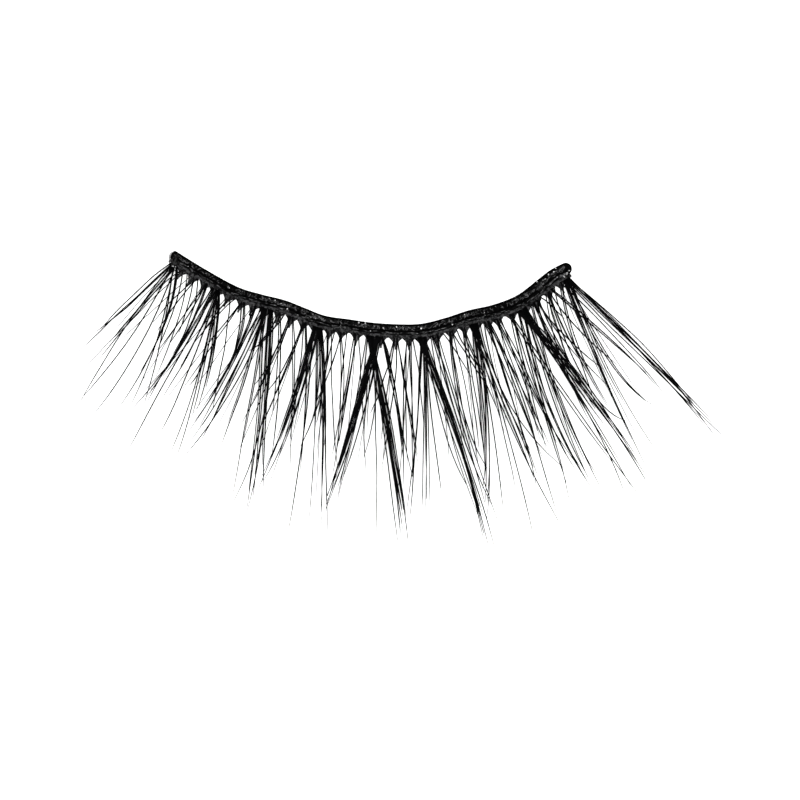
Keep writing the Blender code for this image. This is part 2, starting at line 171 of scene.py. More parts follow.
# Strands of hairs, one row each: root on the thread, point half way, tip, width at the root, number of hairs
STRAND = ("root_x", "half_x", "half_y", "tip_x", "tip_y", "width", "hairs")
SPIKES = {
    "spike_1": (
        (-17.70, -21.20, 7.35, -24.70, 3.70, 0.29, 2),
        (-17.66, -20.90, 7.30, -23.40, 5.00, 0.14, 1),
        (-17.40, -20.50, 6.70, -23.50, 3.10, 0.20, 2),
        (-17.62, -21.40, 5.50, -24.70, -0.20, 0.10, 1),
        (-17.60, -20.70, 5.20, -24.50, 0.30, 0.12, 1),
        (-17.45, -20.20, 4.20, -23.75, -0.85, 0.14, 1),
        (-17.40, -18.50, 5.30, -21.80, -0.50, 0.36, 2),
        (-17.60, -18.90, 4.60, -21.00, -0.20, 0.12, 1),
        (-17.65, -18.60, 5.00, -20.10, -0.30, 0.10, 1),
        (-16.80, -18.80, 8.40, -21.60, 5.30, 0.08, 1),
    ),
    "spike_2": (
        (-15.05, -17.30, 3.80, -20.70, -0.80, 0.40, 2),
        (-14.55, -17.20, 3.70, -19.80, 0.00, 0.48, 3),
        (-14.20, -16.10, 4.20, -18.30, 0.20, 0.41, 2),
        (-14.30, -17.60, 2.60, -20.95, -3.80, 0.12, 1),
        (-14.20, -16.00, 1.00, -17.70, -4.20, 0.10, 1),
        (-14.30, -15.80, 1.20, -17.25, -4.30, 0.14, 1),
        (-14.15, -16.60, 1.90, -18.50, -2.50, 0.08, 1),
        (-14.20, -14.60, 4.00, -15.60, -0.60, 0.41, 3),
        (-14.40, -15.10, 3.60, -16.40, 1.00, 0.10, 1),
        (-14.10, -15.20, 2.90, -16.30, -1.00, 0.08, 1),
    ),
    "spike_3": (
        (-11.30, -13.20, 2.80, -16.40, -2.40, 0.36, 2),
        (-12.25, -13.00, 3.40, -15.90, -1.50, 0.26, 2),
        (-10.70, -13.30, 1.40, -16.85, -4.10, 0.84, 3),
        (-10.50, -12.90, 1.80, -15.30, -3.10, 0.36, 2),
        (-10.60, -12.30, 1.60, -14.20, -3.20, 0.20, 2),
        (-10.50, -11.70, 0.30, -13.10, -7.30, 0.20, 2),
        (-10.80, -11.20, -1.00, -11.90, -8.20, 0.40, 2),
        (-10.20, -10.60, -0.90, -11.90, -8.30, 0.46, 2),
        (-10.30, -10.60, -0.80, -13.00, -8.10, 0.12, 1),
        (-10.20, -10.60, 0.00, -10.90, -7.20, 0.16, 2),
        (-10.35, -10.90, -1.00, -11.60, -7.80, 0.14, 1),
        (-10.05, -10.10, 3.50, -10.30, 1.00, 0.14, 1),
    ),
    "spike_4": (
        (-6.75, -8.55, -0.50, -11.00, -6.80, 0.42, 6),
        (-6.45, -8.30, -1.00, -10.35, -6.10, 0.31, 2),
        (-7.50, -7.50, 0.50, -7.80, -5.30, 0.20, 2),
        (-6.90, -7.60, -2.00, -8.87, -9.80, 0.10, 1),
        (-6.60, -6.70, -1.50, -7.00, -9.30, 0.20, 2),
        (-6.50, -6.40, 0.50, -7.50, -3.60, 0.36, 2),
        (-6.45, -6.15, -1.00, -6.20, -9.60, 0.41, 3),
        (-6.30, -6.00, -2.00, -5.85, -10.25, 0.12, 1),
        (-6.25, -5.95, 0.50, -5.90, -3.40, 0.08, 1),
    ),
    "spike_5": (
        (-1.90, -3.85, -1.80, -6.10, -8.30, 0.54, 6),
        (-1.75, -3.60, -2.20, -5.40, -8.10, 0.41, 3),
        (-2.75, -3.75, -1.30, -5.20, -6.50, 0.20, 2),
        (-2.30, -2.90, -1.00, -2.90, -5.30, 0.10, 1),
        (-2.35, -2.05, -1.50, -1.80, -10.20, 0.10, 1),
        (-2.30, -2.10, 0.00, -2.95, -4.40, 0.08, 1),
        (-2.65, -0.85, -3.30, 0.50, -11.20, 0.58, 6),
        (-2.35, -1.45, -2.80, -0.57, -11.05, 0.14, 1),
        (-2.50, -0.90, -4.00, 0.00, -10.30, 0.29, 2),
    ),
    "spike_6": (
        (1.45, 1.05, -2.00, 0.50, -8.90, 0.34, 2),
        (1.60, 1.60, -2.00, 1.50, -8.90, 0.12, 1),
        (1.65, 1.80, -2.00, 1.80, -9.00, 0.16, 2),
        (1.70, 1.95, -2.00, 2.00, -7.80, 0.08, 1),
        (1.70, 2.30, -2.20, 3.00, -7.20, 0.06, 1),
        (1.75, 3.00, -1.70, 4.90, -6.50, 0.08, 1),
        (1.20, 4.25, -3.20, 6.50, -11.20, 0.60, 6),
        (1.55, 4.40, -3.20, 7.10, -11.30, 0.34, 2),
        (2.20, 3.90, -0.30, 6.00, -7.60, 0.36, 2),
        (2.65, 4.60, -1.40, 7.25, -9.80, 0.14, 1),
    ),
    "spike_7": (
        (5.30, 6.00, -0.50, 6.15, -5.00, 0.26, 2),
        (5.45, 6.35, -1.50, 6.30, -7.60, 0.41, 2),
        (5.60, 6.60, -2.00, 6.50, -8.90, 0.34, 2),
        (5.70, 6.95, -2.50, 7.85, -8.20, 0.14, 1),
        (5.70, 7.50, -1.50, 8.40, -6.90, 0.08, 1),
        (5.60, 8.00, -2.50, 10.00, -10.30, 0.12, 1),
        (5.20, 8.50, -2.10, 11.80, -9.90, 0.60, 3),
        (5.90, 8.00, -0.20, 12.10, -5.10, 0.10, 1),
    ),
    "spike_8": (
        (8.15, 12.80, -0.30, 18.20, -7.40, 0.50, 2),
        (8.85, 14.30, 0.50, 18.90, -6.40, 0.76, 6),
        (9.30, 13.70, -0.20, 17.30, -6.30, 0.34, 2),
        (8.85, 11.10, -0.50, 14.25, -6.90, 0.16, 2),
        (9.35, 12.10, -0.50, 15.00, -6.90, 0.20, 2),
        (8.40, 10.60, 0.00, 13.10, -5.20, 0.14, 1),
        (9.40, 14.40, -1.50, 16.95, -7.00, 0.10, 1),
        (9.20, 11.00, 4.00, 13.40, 0.60, 0.08, 1),
        (10.00, 12.30, 3.20, 14.90, -0.30, 0.34, 2),
        (10.20, 11.80, 5.30, 13.60, 3.10, 0.14, 1),
    ),
    "spike_9": (
        (12.50, 19.20, 2.80, 24.85, -3.15, 0.50, 5),
        (12.70, 18.20, 3.75, 23.40, -2.10, 0.14, 1),
        (12.50, 18.90, 3.45, 23.60, -2.50, 0.16, 2),
        (12.40, 14.80, 3.30, 18.45, -5.00, 0.38, 3),
        (12.75, 15.80, 2.00, 19.55, -4.40, 0.16, 2),
        (12.60, 15.90, 3.00, 19.05, -0.50, 0.10, 2),
        (11.30, 16.00, 4.50, 19.40, 1.10, 0.18, 2),
        (12.00, 16.60, 4.50, 20.10, 0.50, 0.08, 1),
    ),
}
# The strands between the spikes
BETWEEN = (
    (-16.90, -17.60, 7.20, -18.90, 4.00, 0.12, 1),
    (-16.60, -17.20, 6.40, -18.80, 1.90, 0.08, 1),
    (-15.60, -17.10, 8.20, -19.00, 6.00, 0.12, 1),
    (-15.75, -17.10, 7.80, -18.90, 5.40, 0.10, 1),
    (-16.10, -16.50, 7.40, -17.30, 5.20, 0.06, 1),
    (-15.80, -16.20, 6.80, -17.40, 3.60, 0.06, 1),
    (-15.10, -16.60, 6.80, -18.60, 3.80, 0.15, 1),
    (-15.15, -16.20, 7.00, -18.00, 4.40, 0.06, 1),
    (-12.80, -14.00, 6.70, -16.20, 4.40, 0.12, 1),
    (-13.15, -14.10, 6.90, -15.60, 5.10, 0.07, 1),
    (-13.35, -13.60, 4.80, -14.60, -0.50, 0.13, 1),
    (-12.30, -14.20, 4.80, -16.80, 1.00, 0.13, 1),
    (-12.35, -13.40, 6.20, -15.00, 4.60, 0.12, 1),
    (-12.40, -12.80, 4.60, -13.50, 2.40, 0.06, 1),
    (-11.60, -12.50, 4.20, -14.60, 0.40, 0.12, 1),
    (-9.45, -10.30, 5.10, -11.60, 3.60, 0.31, 2),
    (-9.05, -9.80, 5.50, -10.90, 4.20, 0.12, 1),
    (-9.50, -9.60, 1.50, -10.15, -4.00, 0.20, 2),
    (-8.60, -10.30, 2.40, -12.30, -1.60, 0.16, 2),
    (-8.70, -9.80, 3.60, -11.30, 1.20, 0.07, 1),
    (-8.50, -8.40, 1.00, -8.65, -5.30, 0.20, 2),
    (-7.60, -9.40, 1.20, -11.10, -2.40, 0.16, 2),
    (-7.65, -8.80, 3.00, -10.30, 0.60, 0.09, 1),
    (-7.60, -7.95, 2.40, -8.85, -2.70, 0.08, 1),
    (-5.85, -6.00, 2.30, -6.60, -1.20, 0.14, 1),
    (-5.70, -6.00, 1.60, -6.75, -3.60, 0.10, 1),
    (-5.20, -5.90, 2.60, -6.80, -1.60, 0.12, 1),
    (-5.50, -5.45, 0.00, -5.30, -5.00, 0.08, 1),
    (-4.70, -5.60, 2.20, -6.60, -0.40, 0.09, 1),
    (-4.85, -4.68, 0.00, -5.10, -5.50, 0.19, 2),
    (-4.30, -4.60, 2.60, -4.85, -0.60, 0.12, 1),
    (-3.70, -4.20, 1.20, -5.30, -4.00, 0.16, 2),
    (-3.40, -3.30, 2.20, -3.10, -2.00, 0.10, 1),
    (-3.60, -4.30, 0.30, -4.90, -4.00, 0.10, 1),
    (-1.65, -0.80, 1.20, 0.20, -4.40, 0.19, 2),
    (-1.60, -0.50, 0.10, 0.05, -3.90, 0.10, 1),
    (-1.65, -0.40, -0.90, 0.60, -6.10, 0.12, 1),
    (-0.60, -1.10, 1.40, -1.90, -2.80, 0.14, 1),
    (-0.65, -1.35, 1.90, -2.30, -1.00, 0.08, 1),
    (-0.45, 0.15, 0.80, 0.90, -4.60, 0.15, 1),
    (-0.50, 0.15, 1.00, 0.90, -4.00, 0.08, 1),
    (-0.50, -0.60, 1.20, -1.40, -4.60, 0.07, 1),
    (0.45, 0.55, 1.40, 0.80, -3.40, 0.14, 1),
    (0.35, 0.22, 1.80, 0.40, -4.80, 0.09, 1),
    (0.35, 0.10, 0.00, 0.25, -6.80, 0.08, 1),
    (0.60, 0.65, 1.60, 0.50, -5.80, 0.08, 1),
    (0.65, 1.20, 2.20, 1.60, -2.20, 0.12, 1),
    (2.10, 3.50, -2.20, 5.50, -8.60, 0.10, 1),
    (2.60, 4.10, -1.40, 6.40, -7.80, 0.14, 1),
    (3.00, 3.90, 3.90, 5.20, 1.80, 0.09, 1),
    (3.55, 3.95, 1.60, 4.60, -3.20, 0.10, 1),
    (3.60, 4.25, 1.40, 5.20, -3.60, 0.14, 1),
    (3.65, 4.50, -0.60, 6.20, -5.20, 0.14, 1),
    (3.75, 4.90, 0.40, 5.80, -4.60, 0.13, 1),
    (3.65, 4.90, 3.40, 6.30, 1.20, 0.08, 1),
    (4.05, 4.90, 3.80, 5.90, 2.00, 0.10, 1),
    (4.40, 5.50, 3.20, 7.40, -0.80, 0.16, 1),
    (4.55, 5.30, 0.80, 5.95, -3.60, 0.15, 1),
    (4.65, 5.40, 3.60, 6.40, 1.80, 0.12, 1),
    (4.70, 5.40, 1.00, 6.10, -3.90, 0.12, 1),
    (6.15, 8.55, 0.70, 10.60, -4.30, 0.15, 1),
    (6.25, 7.20, 1.60, 9.60, -3.60, 0.10, 1),
    (6.40, 9.00, 1.10, 11.00, -3.30, 0.18, 1),
    (6.45, 8.20, 0.60, 10.20, -5.50, 0.10, 1),
    (6.50, 9.20, -0.20, 11.50, -8.60, 0.20, 2),
    (6.50, 8.80, -1.20, 10.30, -6.30, 0.10, 1),
    (7.15, 10.30, 0.00, 12.90, -4.80, 0.26, 2),
    (7.15, 9.00, 1.00, 10.80, -3.60, 0.10, 1),
    (7.45, 8.90, 2.60, 10.60, -2.20, 0.11, 1),
    (7.30, 10.90, -1.10, 13.00, -8.10, 0.10, 1),
    (8.20, 9.10, 2.60, 10.20, -2.20, 0.13, 1),
    (8.40, 9.85, 0.80, 11.00, -3.60, 0.13, 1),
    (8.85, 10.35, 0.80, 12.50, -6.00, 0.12, 1),
    (9.20, 10.50, 1.00, 11.70, -3.20, 0.10, 1),
    (9.30, 11.15, -0.20, 13.40, -5.20, 0.10, 1),
    (9.40, 11.60, -0.30, 14.00, -6.00, 0.10, 1),
    (9.80, 11.95, -0.30, 13.90, -5.80, 0.12, 1),
    (9.90, 12.30, -0.50, 14.80, -6.00, 0.12, 1),
    (10.10, 11.50, 3.80, 14.20, -1.00, 0.15, 1),
    (10.30, 11.80, 3.60, 15.10, -1.60, 0.10, 1),
    (10.30, 12.20, 5.10, 15.30, 2.40, 0.08, 1),
    (10.40, 12.60, 3.20, 16.20, -2.20, 0.12, 1),
    (10.50, 11.10, 7.40, 12.40, 6.30, 0.16, 1),
    (11.00, 12.00, 3.80, 14.40, -1.60, 0.10, 1),
    (11.10, 12.40, 4.00, 14.80, -0.40, 0.10, 1),
    (11.15, 12.80, 4.60, 15.60, -0.20, 0.15, 1),
    (11.20, 13.00, 5.90, 16.30, 2.90, 0.10, 1),
    (11.20, 12.90, 4.40, 15.70, 0.90, 0.12, 1),
    (11.10, 14.00, 1.40, 16.90, -1.70, 0.10, 1),
    (11.65, 12.40, 5.80, 14.40, 1.60, 0.10, 1),
    (12.00, 13.00, 5.00, 14.90, -0.20, 0.10, 1),
    (12.15, 13.50, 4.20, 15.70, -0.20, 0.10, 1),
)

# Hair: each one is a tapered tube that follows its strand
HAIR_STEPS = 16
HAIR_SIDES = 6
HAIR_RADIUS = 0.053
HAIR_THICKNESS = (0.82, 1.1)
HAIR_SLIMMING = 0.14
HAIR_SLIMMING_POWER = 1.2
HAIR_TIP_SHARE = 0.38
HAIR_TIP_POWER = 1.5
HAIR_TAPER_FROM = 0.80
HAIR_FLOOR_GAP = 0.01
# How far a hair may end off its place in the strand, and the power that keeps that near the tip
HAIR_STRAY = 0.22
HAIR_STRAY_POWER = 2.5
# A hair's own slight wave: half its height, and how many radians it passes between root and tip
WAVE_REACH = (0.005, 0.03)
WAVE_RATE = (6, 16)
FULL_TURN = 6.28
# A hair may lie this much lower or higher than its layer
HAIR_LIFT = (-0.04, 0.06)
# How fast the wave, the depth and the lift grow from nothing at the root: 5 is full at a fifth of the way
WAVE_GROWTH = 5
DEPTH_GROWTH = 6
LIFT_GROWTH = 4
# A strand's longest hair, as a share of the way to its tip, and how much of it the others may lack
HAIR_LONGEST = 1.03
HAIR_SHORTER = 0.30
# Hairs change places on their way, in shares of half the width: half way, and at the tip where they gather
HALF_WAY_SWAP = 0.55
TIP_SWAP = 0.9
TIP_GATHER = 0.35

# A strand of this many hairs or more is a solid point; in a smaller one each hair has room to itself
SOLID_FROM = 6
STRAND_TIP_SHARE = 0.36
HAIR_ROOM = 0.08
LOOSE_TIP_SHARE = 0.9
STRAND_SLIMMING_POWER = 1.3
STRAND_FLATNESS = 0.62
# A strand is pinched at its root to this share of its width, and opens at this rate
ROOT_PINCH = 0.45
ROOT_OPENING = 2.5
# The width in the row of a hair by itself
LONE_WIDTH = 0.08

# Fine single hairs that leave a strand on its way down: how many for each of its hairs, how far off they end
STRAGGLER_SHARE = 0.22
STRAGGLER_APART = 0.75
# Stragglers, in shares: how far off they are half way, their reach, their place at the root, their thickness
STRAGGLER_APART_HALF_WAY = 0.28
STRAGGLER_REACH = (0.82, 1.02)
STRAGGLER_ROOT = 0.3
STRAGGLER_THICKNESS = (0.5, 0.7)

# Layers: hairs leave the thread at the root height, and take this way from it to the height of their layer
ROOT_HEIGHT = THREAD_RADIUS * 1.2
LAYER_RISE = 1.3
SPIKE_LAYER = 0.52
BETWEEN_LAYER = 0.20
FRINGE_LAYER = 0.10

# One fine hair at every knot, in degrees: the fan's lean for each mm of x, its swing off that and its spread
LEAN_PER_MM = 2.45
FRINGE_SWING = -2.0
FRINGE_SWING_SPREAD = 7
# Its length, how far its root and its middle may be off, and its share of a hair's thickness
FRINGE_LENGTH = (7.0, 12.0)
FRINGE_SPREAD = 0.12
FRINGE_THICKNESS = 0.58

# Knots at x along the thread, with the half width of the glue web that each one spreads into its hairs
KNOTS = (
    {"x": -17.50, "web": 0.30}, {"x": -16.85, "web": 0.20}, {"x": -16.10, "web": 0.20},
    {"x": -15.15, "web": 0.22}, {"x": -14.30, "web": 0.36}, {"x": -13.35, "web": 0.20},
    {"x": -12.30, "web": 0.24}, {"x": -11.45, "web": 0.22}, {"x": -10.50, "web": 0.40},
    {"x": -9.50, "web": 0.22}, {"x": -8.50, "web": 0.22}, {"x": -7.60, "web": 0.24},
    {"x": -6.60, "web": 0.38}, {"x": -5.60, "web": 0.22}, {"x": -4.70, "web": 0.22},
    {"x": -3.55, "web": 0.22}, {"x": -2.30, "web": 0.42}, {"x": -1.65, "web": 0.20},
    {"x": -0.55, "web": 0.24}, {"x": 0.45, "web": 0.22}, {"x": 1.50, "web": 0.42},
    {"x": 2.60, "web": 0.24}, {"x": 3.65, "web": 0.24}, {"x": 4.70, "web": 0.24},
    {"x": 5.50, "web": 0.42}, {"x": 6.50, "web": 0.26}, {"x": 7.20, "web": 0.22},
    {"x": 8.30, "web": 0.24}, {"x": 9.20, "web": 0.42}, {"x": 10.10, "web": 0.26},
    {"x": 11.10, "web": 0.24}, {"x": 12.00, "web": 0.22}, {"x": 12.45, "web": 0.14},
)
# Webs: how far one reaches from the thread, more where it is wider than the least, and how far that varies
WEB_STEPS = 14
WEB_SIDES = 12
WEB_LEAN_PER_MM = 2.0
WEB_LENGTH = 1.0
WEB_LENGTHENING = 1.6
WEB_LEAST = 0.2
WEB_LENGTH_SPREAD = 0.05
# A web's half width: its flare at the thread, the power that hollows its sides, what is left at its tip
WEB_FLARE = 0.22
WEB_HOLLOW = 2.4
WEB_TIP_HALF_WIDTH = 0.07
# A web's height: its middle as a share of the thread's radius, how far that dips, half its height at the tip
WEB_SEAT = 0.85
WEB_DIP = 0.02
WEB_TIP_HALF_HEIGHT = 0.03
# How much more than at the tip half its height is at the thread
WEB_ROOT_EXTRA = 0.09

# Lumps: start and end in plan, half width, height of the middle, half height
GLUE_BLOT = ((10.46, 8.53), (10.54, 8.59), 0.21, 0.38, 0.09)
BLUNT_END = ((-17.57, 10.96), (-17.59, 10.48), 0.27, 0.22, 0.22)
PALE_EDGE = ((-17.72, 10.99), (-17.72, 10.56), 0.29, 0.14, 0.13)
LUMP_STEPS = 19
LUMP_SIDES = 18
# The angle that is left open at both ends of a lump
LUMP_END_GAP = 0.06

# Materials: dark and light colour, noise scale, roughness, specular level, bump, attribute that darkens it (on
# the band it also holds the groove's painted shade)
LOOK = ("dark", "light", "scale", "roughness", "level", "bump", "tone")
MATERIALS = {
    "lash_hair": ((0.0003, 0.0003, 0.0004), (0.0014, 0.0014, 0.0015), 900, (0.5, 0.62), 0.015, 0.3, None),
    "thread_ply": ((0.0004,) * 3, (0.040, 0.040, 0.041), 4200, (0.6, 0.8), 0.015, 0.5, None),
    "root_glue": ((0.0004,) * 3, (0.040, 0.040, 0.041), 4200, (0.4, 0.6), 0.015, 0.5, None),
    "band_cloth_weave": ((0.0002,) * 3, (0.003,) * 3, 5200, (0.6, 0.85), 0.004, 0.6, "tone"),
    # Band fibres: their grey is painted sheen on black fibres
    "band_fibre_painted_sheen": ((0.006,) * 3, (0.105, 0.105, 0.107), 3600, (0.6, 0.8), 0.01, 0.3, None),
    # White flecks: painted glints, bright spots that stand in for light on the weave
    "painted_glint": ((0.12,) * 3, (0.60,) * 3, 5200, (0.8, 0.95), 0.1, 0.3, None),
    "dried_glue": ((0.10,) * 3, (0.36,) * 3, 7000, (0.5, 0.8), 0.05, 0.5, None),
    "blunt_end_cloth": ((0.0003,) * 3, (0.022,) * 3, 5200, (0.6, 0.85), 0.004, 0.6, None),
}
NOISE_DETAIL = 4.0
NOISE_DISTORTION = 1.2
RAMP_POSITIONS = (0.42, 0.66)
BUMP_DISTANCE = 0.02

# Stage, in metres: floor and its gap under the part, lights by name, place, watts and size, and the camera
FLOOR_SIZE = 3.0
FLOOR_GAP = 0.00001
FLOOR_COLOUR = (0.9, 0.9, 0.9, 1)
SKY_STRENGTH = 0.85
LIGHTS = (
    ("overhead", (0.06, 0.08, 1.25), 19.0, 0.5),
    ("left", (-0.8, 0.5, 0.8), 4.0, 0.7),
    ("right", (0.85, -0.3, 0.8), 3.5, 0.7),
)
CAMERA_HEIGHT = 1.3
CAMERA_CLIP = (0.01, 20.0)
SENSOR_WIDTH = 36.0
# The width that the picture shows and the point at its middle, in millimetres
VIEW_WIDTH = 61.6
VIEW_MIDDLE = (-0.231, -0.1155)


def smooth_through(values, position):
    """The value at a fractional row number of a list, on a smooth curve through its rows."""
    last = len(values) - 1
    row = min(int(position), last - 1)
    share = position - row
    before = values[max(row - 1, 0)]
    start = values[row]
    end = values[row + 1]
    after = values[min(row + 2, last)]
    pull_in = (end - before) * 0.5
    pull_out = (after - start) * 0.5
    cube = share**3
    square = share**2
    return (
        start * (2 * cube - 3 * square + 1)
        + pull_in * (cube - 2 * square + share)
        + end * (3 * square - 2 * cube)
        + pull_out * (cube - square)
    )


def bend_through(start, half_way, end, shares):
    """Values at the shares of a bend that passes its half-way value."""
    pull = half_way * 2 - (start + end) / 2
    return start * (1 - shares) ** 2 + pull * 2 * shares * (1 - shares) + end * shares**2


def directions(points):
    """The direction of a line at each of its points, one unit long."""
    along = np.gradient(points, axis=0)
    return along / np.linalg.norm(along, axis=1)[:, None]


def band_station(position):
    """The band at a fractional section number: edge point, direction along, direction across, width."""
    last = len(BAND_SECTIONS) - 1
    edge = [Vector((row["x"], row["edge_y"])) for row in BAND_SECTIONS]
    widths = [row["width"] for row in BAND_SECTIONS]
    point = smooth_through(edge, position)
    ahead = smooth_through(edge, min(position + DIRECTION_REACH, last))
    behind = smooth_through(edge, max(position - DIRECTION_REACH, 0))
    along = (ahead - behind).normalized()
    across = Vector((along.y, -along.x))
    return {"edge": point, "along": along, "across": across, "width": smooth_through(widths, position)}


def band_place(position, share_across):
    """A point in plan on the band: 0 at its upper edge and 1 at its lower edge."""
    station = band_station(position)
    return station["edge"] + station["across"] * (station["width"] + BAND_OVERLAP) * share_across


def thread_line(count):
    """The root thread's centre line in plan, as rows of x and y, with its cut tail."""
    rows = []
    for number in range(count):
        station = band_station((len(BAND_SECTIONS) - 1) * number / (count - 1))
        reach = station["width"] + THREAD_CLEARANCE + THREAD_RADIUS
        rows.append(station["edge"] + station["across"] * reach)
    rows.append(rows[-1] + (rows[-1] - rows[-2]).normalized() * THREAD_TAIL)
    return np.array([(row.x, row.y) for row in rows])


THREAD = thread_line(THREAD_STATIONS)
BAND_PLACES = np.linspace(0, len(BAND_SECTIONS) - 1, PLACES_ALONG)
BAND_MIDDLE = np.array([tuple(band_place(place, 0.5)) for place in BAND_PLACES])


def thread_at(x):
    """The thread's centre in plan where it reaches x."""
    return np.array((x, np.interp(x, THREAD[:, 0], THREAD[:, 1])))


def reach_from_thread(points):
    """How far each point in plan lies from the thread."""
    starts = THREAD[:-1]
    runs = THREAD[1:] - starts
    away = points[:, None, :] - starts[None, :, :]
    shares = np.clip((away * runs).sum(2) / (runs * runs).sum(1), 0, 1)
    gaps = away - shares[:, :, None] * runs
    return np.sqrt((gaps * gaps).sum(2)).min(1)


def lifted(points, layer):
    """Points in plan at their heights: rising from the thread to their layer, then curling up."""
    reach = reach_from_thread(points)
    rise = np.clip(reach / LAYER_RISE, 0, 1)
    rise = rise * rise * (3 - 2 * rise)
    heights = ROOT_HEIGHT + (layer - ROOT_HEIGHT) * rise
    heights = heights + CURL_RATE * np.maximum(reach - FLAT_REACH, 0) ** 2
    return np.column_stack((points, heights))


def heading_at(degrees):
    """The direction in plan that leans this many degrees to the right of straight down."""
    lean = math.radians(degrees)
    return np.array((math.sin(lean), -math.cos(lean)))


def seeded(piece):
    """The random draws of one piece."""
    return random.Random(SEED + SEED_STEPS[piece])


class Mesh:
    """Vertices and faces of many tubes, gathered into one mesh object."""

    def __init__(self):
        self.vertices = []
        self.faces = []
        self.count = 0

    def rings(self, rings):
        """Adds a closed tube from rings of points, each (sides, 3), capped at both ends."""
        steps, sides, _ = rings.shape
        base = self.count
        self.vertices.append(rings.reshape(-1, 3))
        for step in range(steps - 1):
            row = base + step * sides
            for side in range(sides):
                beside = (side + 1) % sides
                self.faces.append((row + side, row + beside, row + sides + beside, row + sides + side))
        self.faces.append(tuple(base + side for side in reversed(range(sides))))
        last = base + (steps - 1) * sides
        self.faces.append(tuple(last + side for side in range(sides)))
        self.count += steps * sides

    def tube(self, points, wide, high, sides, spin=0.0):
        """Adds a tube along points, with its half width and half height at each point or each corner."""
        along = directions(points)
        beside = np.column_stack((-along[:, 1], along[:, 0], np.zeros(len(points))))
        beside /= np.linalg.norm(beside, axis=1)[:, None]
        above = np.cross(along, beside)
        turns = spin + 2 * math.pi * np.arange(sides) / sides
        self.rings(
            points[:, None, :]
            + beside[:, None, :] * np.cos(turns)[None, :, None] * wide.reshape(len(points), -1, 1)
            + above[:, None, :] * np.sin(turns)[None, :, None] * high.reshape(len(points), -1, 1)
        )

    def lump(self, start, end, half_width, middle_height, half_height):
        """Adds a pad with round ends that reaches its half width past its start and its end."""
        start = np.array(start)
        run = np.array(end) - start
        length = np.linalg.norm(run)
        turns = np.linspace(-math.pi / 2 + LUMP_END_GAP, math.pi / 2 - LUMP_END_GAP, LUMP_STEPS)
        places = np.sin(turns) * (length / 2 + half_width)
        beyond = np.maximum(np.abs(places) - length / 2, 0) / half_width
        profile = np.sqrt(1 - beyond**2)
        plan = start + run * (0.5 + places / length)[:, None]
        points = np.column_stack((plan, np.full(LUMP_STEPS, middle_height)))
        self.tube(points, profile * half_width, profile * half_height, LUMP_SIDES)

    def make(self, name, material, replaced=None):
        """Makes the piece, which rides on the strip's one body."""
        mesh = bpy.data.meshes.new(name)
        vertices = np.concatenate(self.vertices) * MM
        mesh.from_pydata(vertices.tolist(), [], self.faces)
        mesh.polygons.foreach_set("use_smooth", [True] * len(mesh.polygons))
        mesh.materials.append(material)
        mesh.validate()
        mesh.update()
        obj = bpy.data.objects.new(name, mesh)
        bpy.context.scene.collection.objects.link(obj)
        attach(obj, "root")
        if replaced:
            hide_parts(replaced)
        return obj


def hairs_of(strand, layer, chance, mesh, thickness=1.0):
    """Adds the hairs of one strand, which cross each other at shallow angles on their way to the tip."""
    root = thread_at(strand["root_x"])
    half_way = np.array((strand["half_x"], strand["half_y"]))
    tip = np.array((strand["tip_x"], strand["tip_y"]))
    count = strand["hairs"]
    longest = chance.randrange(count)
    spread = strand["width"] / 2
    closing = STRAND_TIP_SHARE
    if count < SOLID_FROM:
        spread = max(spread, HAIR_ROOM * count)
        closing = LOOSE_TIP_SHARE
    travelled = np.linspace(0, 1, HAIR_STEPS)
    fading = np.clip((travelled - HAIR_TAPER_FROM) / (1 - HAIR_TAPER_FROM), 0, 1)
    slimming = 1 - HAIR_SLIMMING * travelled**HAIR_SLIMMING_POWER
    for number in range(count):
        side = (number + 0.5) / count * 2 - 1 if count > 1 else 0.0
        side_half_way = side + chance.uniform(-HALF_WAY_SWAP, HALF_WAY_SWAP)
        side_at_tip = side * TIP_GATHER + chance.uniform(-TIP_SWAP, TIP_SWAP)
        depth = math.sqrt(max(0.0, 1 - side * side)) * chance.uniform(-1, 1)
        last = HAIR_LONGEST if number == longest else 1 - HAIR_SHORTER * chance.random()
        shares = travelled * last
        plan = bend_through(root, half_way, tip, shares[:, None])
        along = directions(plan)
        across = np.column_stack((along[:, 1], -along[:, 0]))
        profile = 1 - (1 - closing) * shares**STRAND_SLIMMING_POWER
        profile = profile * np.minimum(ROOT_PINCH + shares * ROOT_OPENING, 1)
        stray = chance.uniform(-HAIR_STRAY, HAIR_STRAY) * shares**HAIR_STRAY_POWER
        wave = chance.uniform(*WAVE_REACH)
        wave = wave * np.sin(shares * chance.uniform(*WAVE_RATE) + chance.uniform(0, FULL_TURN))
        offset = bend_through(side, side_half_way, side_at_tip, shares) * spread * profile + stray
        offset = offset + wave * np.minimum(shares * WAVE_GROWTH, 1)
        points = lifted(plan + across * offset[:, None], layer)
        points[:, 2] += depth * spread * STRAND_FLATNESS * profile * np.minimum(shares * DEPTH_GROWTH, 1)
        points[:, 2] += chance.uniform(*HAIR_LIFT) * np.minimum(shares * LIFT_GROWTH, 1)
        points[:, 2] = np.maximum(points[:, 2], HAIR_RADIUS + HAIR_FLOOR_GAP)
        radius = HAIR_RADIUS * thickness * chance.uniform(*HAIR_THICKNESS) * slimming
        radius = radius * (1 - (1 - HAIR_TIP_SHARE) * fading**HAIR_TIP_POWER)
        mesh.tube(points, radius, radius, HAIR_SIDES, chance.uniform(0, 1))


